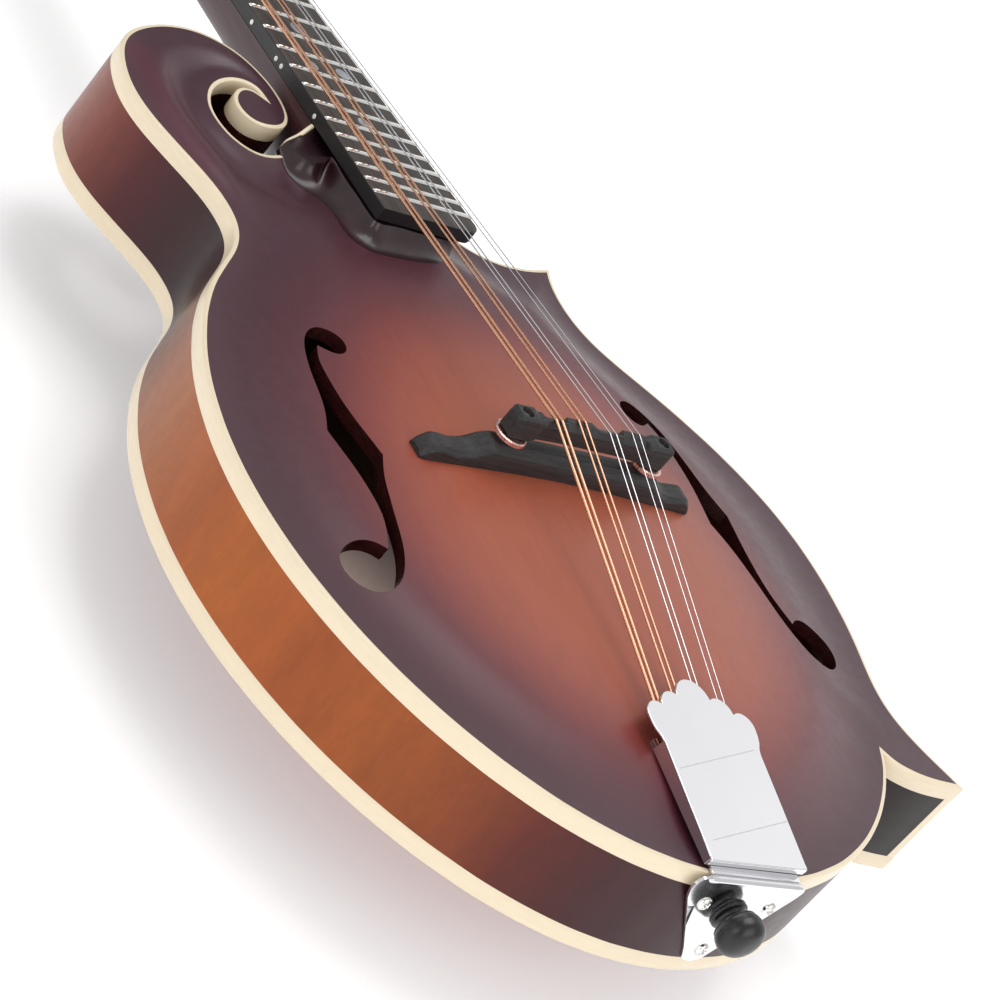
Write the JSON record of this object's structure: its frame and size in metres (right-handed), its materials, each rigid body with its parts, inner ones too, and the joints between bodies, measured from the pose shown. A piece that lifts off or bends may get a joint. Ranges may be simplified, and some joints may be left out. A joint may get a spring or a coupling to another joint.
{
  "type": "mandolin",
  "caption": "Carved-top mandolin with a scroll and two points, f-holes, adjustable bridge, hinged tailpiece cover and geared tuners.",
  "frame": {"origin": "centre of the bounding box in plan, at its lowest height, with the instrument lying top upwards", "axes": "+Z out of the top, +Y along the neck towards the headstock, +X towards the treble side"},
  "size_m": [0.2568, 0.6748, 0.1022],
  "materials": {
    "sunburst_top": "satin sunburst lacquer",
    "stained_maple": "satin stained",
    "neck_wood": "satin dark red-brown",
    "cream_binding": "satin cream",
    "inner_wood": "bare",
    "paper": "plain paper",
    "rosewood": "oiled",
    "riser_wood": "gloss dark red",
    "ebony": "dry, open grain",
    "nickel_silver": "polished",
    "pearl": "pearl",
    "white_dot": "plain",
    "bone": "polished",
    "black_veneer": "satin black",
    "black_plastic": "satin black",
    "screw_steel": "plated",
    "chrome": "mirror plate",
    "copper_nickel": "knurled, pinkish",
    "bronze_wound": "wound",
    "plain_steel": "plain",
    "nickel_post": "plated",
    "tuner_button": "pearloid cream"
  },
  "bodies": {
    "root": {"back_binding": "cream_binding", "back_plate": "stained_maple", "bridge_base": "ebony", "bridge_posts": "screw_steel", "end_pin": "black_plastic", "face_dots": "pearl", "fretboard": "rosewood", "fretboard_riser": "riser_wood", "frets": "nickel_silver", "head_block": "inner_wood", "headstock_veneer": "black_veneer", "heel_cap": "neck_wood", "inner_label": "paper", "linings": "inner_wood", "neck": "neck_wood", "nut": "bone", "point_blocks": "inner_wood", "rib_bass": "stained_maple", "rib_scroll": "stained_maple", "rib_tail_treble": "stained_maple", "rib_upper_treble": "stained_maple", "rib_waist_treble": "stained_maple", "side_dots": "white_dot", "strings_a": "plain_steel", "strings_d": "bronze_wound", "strings_e": "plain_steel", "strings_g": "bronze_wound", "tail_block": "inner_wood", "tailpiece_base": "chrome", "tailpiece_screws": "screw_steel", "tone_bars": "inner_wood", "top_binding": "cream_binding", "top_plate": "sunburst_top", "truss_cover_screws": "screw_steel", "truss_rod": "screw_steel", "truss_rod_cover": "black_plastic", "tuner_ferrules": "chrome", "tuner_plates": "chrome", "tuner_screws": "screw_steel"},
    "tuner_post_bass_1": {"tuner_post_bass_1": "nickel_post"},
    "tuner_post_bass_2": {"tuner_post_bass_2": "nickel_post"},
    "tuner_post_bass_3": {"tuner_post_bass_3": "nickel_post"},
    "tuner_post_bass_4": {"tuner_post_bass_4": "nickel_post"},
    "tuner_post_treble_1": {"tuner_post_treble_1": "nickel_post"},
    "tuner_post_treble_2": {"tuner_post_treble_2": "nickel_post"},
    "tuner_post_treble_3": {"tuner_post_treble_3": "nickel_post"},
    "tuner_post_treble_4": {"tuner_post_treble_4": "nickel_post"},
    "tuner_knob_bass_1": {"tuner_knob_bass_1": "tuner_button"},
    "tuner_knob_bass_2": {"tuner_knob_bass_2": "tuner_button"},
    "tuner_knob_bass_3": {"tuner_knob_bass_3": "tuner_button"},
    "tuner_knob_bass_4": {"tuner_knob_bass_4": "tuner_button"},
    "tuner_knob_treble_1": {"tuner_knob_treble_1": "tuner_button"},
    "tuner_knob_treble_2": {"tuner_knob_treble_2": "tuner_button"},
    "tuner_knob_treble_3": {"tuner_knob_treble_3": "tuner_button"},
    "tuner_knob_treble_4": {"tuner_knob_treble_4": "tuner_button"},
    "bridge_saddle": {"bridge_saddle": "ebony"},
    "thumbwheel_bass": {"thumbwheel_bass": "copper_nickel"},
    "thumbwheel_treble": {"thumbwheel_treble": "copper_nickel"},
    "tailpiece_cover": {"tailpiece_cover": "chrome"},
    "truss_rod_nut": {"truss_rod_nut": "screw_steel"}
  },
  "joints": [
    {"name": "knob_bass_1_turn", "type": "hinge", "parent": "root", "child": "tuner_knob_bass_1", "pos_m": [-0.0222, 0.22262, 0.03124], "axis": [-1, 0, 0], "continuous": true},
    {"name": "post_bass_1_turn", "type": "hinge", "parent": "root", "child": "tuner_post_bass_1", "pos_m": [-0.0222, 0.22161, 0.05265], "axis": [0, 0.3148, 0.9492], "continuous": true},
    {"name": "knob_bass_2_turn", "type": "hinge", "parent": "root", "child": "tuner_knob_bass_2", "pos_m": [-0.0222, 0.24455, 0.02397], "axis": [-1, 0, 0], "continuous": true},
    {"name": "post_bass_2_turn", "type": "hinge", "parent": "root", "child": "tuner_post_bass_2", "pos_m": [-0.0222, 0.24354, 0.04537], "axis": [0, 0.3148, 0.9492], "continuous": true},
    {"name": "knob_bass_3_turn", "type": "hinge", "parent": "root", "child": "tuner_knob_bass_3", "pos_m": [-0.0222, 0.26647, 0.01669], "axis": [-1, 0, 0], "continuous": true},
    {"name": "post_bass_3_turn", "type": "hinge", "parent": "root", "child": "tuner_post_bass_3", "pos_m": [-0.0222, 0.26546, 0.0381], "axis": [0, 0.3148, 0.9492], "continuous": true},
    {"name": "knob_bass_4_turn", "type": "hinge", "parent": "root", "child": "tuner_knob_bass_4", "pos_m": [-0.0222, 0.2884, 0.00942], "axis": [-1, 0, 0], "continuous": true},
    {"name": "post_bass_4_turn", "type": "hinge", "parent": "root", "child": "tuner_post_bass_4", "pos_m": [-0.0222, 0.28739, 0.03083], "axis": [0, 0.3148, 0.9492], "continuous": true},
    {"name": "knob_treble_1_turn", "type": "hinge", "parent": "root", "child": "tuner_knob_treble_1", "pos_m": [0.0138, 0.22262, 0.03124], "axis": [1, 0, 0], "continuous": true},
    {"name": "post_treble_1_turn", "type": "hinge", "parent": "root", "child": "tuner_post_treble_1", "pos_m": [0.0138, 0.22161, 0.05265], "axis": [0, 0.3148, 0.9492], "continuous": true},
    {"name": "knob_treble_2_turn", "type": "hinge", "parent": "root", "child": "tuner_knob_treble_2", "pos_m": [0.0138, 0.24455, 0.02397], "axis": [1, 0, 0], "continuous": true},
    {"name": "post_treble_2_turn", "type": "hinge", "parent": "root", "child": "tuner_post_treble_2", "pos_m": [0.0138, 0.24354, 0.04537], "axis": [0, 0.3148, 0.9492], "continuous": true},
    {"name": "knob_treble_3_turn", "type": "hinge", "parent": "root", "child": "tuner_knob_treble_3", "pos_m": [0.0138, 0.26647, 0.01669], "axis": [1, 0, 0], "continuous": true},
    {"name": "post_treble_3_turn", "type": "hinge", "parent": "root", "child": "tuner_post_treble_3", "pos_m": [0.0138, 0.26546, 0.0381], "axis": [0, 0.3148, 0.9492], "continuous": true},
    {"name": "knob_treble_4_turn", "type": "hinge", "parent": "root", "child": "tuner_knob_treble_4", "pos_m": [0.0138, 0.2884, 0.00942], "axis": [1, 0, 0], "continuous": true},
    {"name": "post_treble_4_turn", "type": "hinge", "parent": "root", "child": "tuner_post_treble_4", "pos_m": [0.0138, 0.28739, 0.03083], "axis": [0, 0.3148, 0.9492], "continuous": true},
    {"name": "saddle_height", "type": "slide", "parent": "root", "child": "bridge_saddle", "axis": [0, 0, 1], "range_m": [-0.00142, 0.00212], "deforming": ["strings_g", "strings_d", "strings_a", "strings_e"]},
    {"name": "thumbwheel_bass_turn", "type": "hinge", "parent": "bridge_saddle", "child": "thumbwheel_bass", "pos_m": [-0.0335, -0.17685, 0.09187], "axis": [0, 0, 1], "range_deg": [-720, 1080]},
    {"name": "thumbwheel_treble_turn", "type": "hinge", "parent": "bridge_saddle", "child": "thumbwheel_treble", "pos_m": [0.0251, -0.17685, 0.09187], "axis": [0, 0, 1], "range_deg": [-720, 1080]},
    {"name": "cover_hinge", "type": "hinge", "parent": "root", "child": "tailpiece_cover", "pos_m": [-0.0042, -0.32025, 0.07287], "axis": [1, 0, 0], "range_deg": [0, 50]},
    {"name": "truss_nut_turn", "type": "hinge", "parent": "root", "child": "truss_rod_nut", "pos_m": [-0.0042, 0.18495, 0.05824], "axis": [0, 0.9974, -0.0716], "range_deg": [-360, 360]}
  ],
  "couplings": [
    {"joint": "post_bass_1_turn", "follows": "knob_bass_1_turn", "ratio": -0.0625},
    {"joint": "post_bass_2_turn", "follows": "knob_bass_2_turn", "ratio": -0.0625},
    {"joint": "post_bass_3_turn", "follows": "knob_bass_3_turn", "ratio": -0.0625},
    {"joint": "post_bass_4_turn", "follows": "knob_bass_4_turn", "ratio": -0.0625},
    {"joint": "post_treble_1_turn", "follows": "knob_treble_1_turn", "ratio": 0.0625},
    {"joint": "post_treble_2_turn", "follows": "knob_treble_2_turn", "ratio": 0.0625},
    {"joint": "post_treble_3_turn", "follows": "knob_treble_3_turn", "ratio": 0.0625},
    {"joint": "post_treble_4_turn", "follows": "knob_treble_4_turn", "ratio": 0.0625},
    {"joint": "saddle_height", "follows": "thumbwheel_bass_turn", "m_per_rad": 0.00011141},
    {"joint": "thumbwheel_treble_turn", "follows": "thumbwheel_bass_turn", "ratio": 1}
  ]
}
